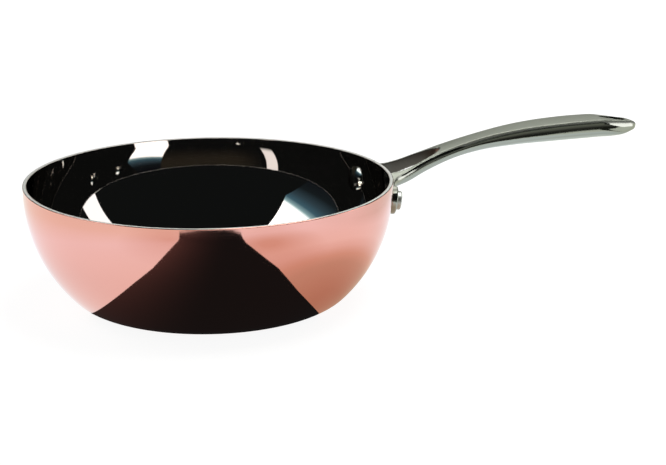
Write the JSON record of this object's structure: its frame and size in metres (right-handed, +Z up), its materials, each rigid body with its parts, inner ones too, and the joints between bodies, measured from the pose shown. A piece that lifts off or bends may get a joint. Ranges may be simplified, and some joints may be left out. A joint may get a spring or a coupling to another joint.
{
  "type": "saucier pan",
  "caption": "Round-sided saucier pan with a copper skin bonded over an aluminium core and a steel lining, and a forked, riveted steel handle with a hanging hole.",
  "frame": {"origin": "centre of the flat base, on the plane that the pan stands on", "axes": "+Z up, +X along the handle, away from the bowl"},
  "size_m": [0.4324, 0.24, 0.1004],
  "materials": {
    "copper": "polished copper",
    "aluminium": "plain, seen only as a line in the ground rim",
    "liner_steel": "mirror polished stainless steel",
    "handle_steel": "polished cast stainless steel",
    "rivet_steel": "polished stainless steel"
  },
  "bodies": {
    "root": {"copper_shell": "copper", "aluminium_core": "aluminium", "steel_liner": "liner_steel", "handle": "handle_steel", "near_rivet": "rivet_steel", "far_rivet": "rivet_steel"}
  },
  "joints": []
}
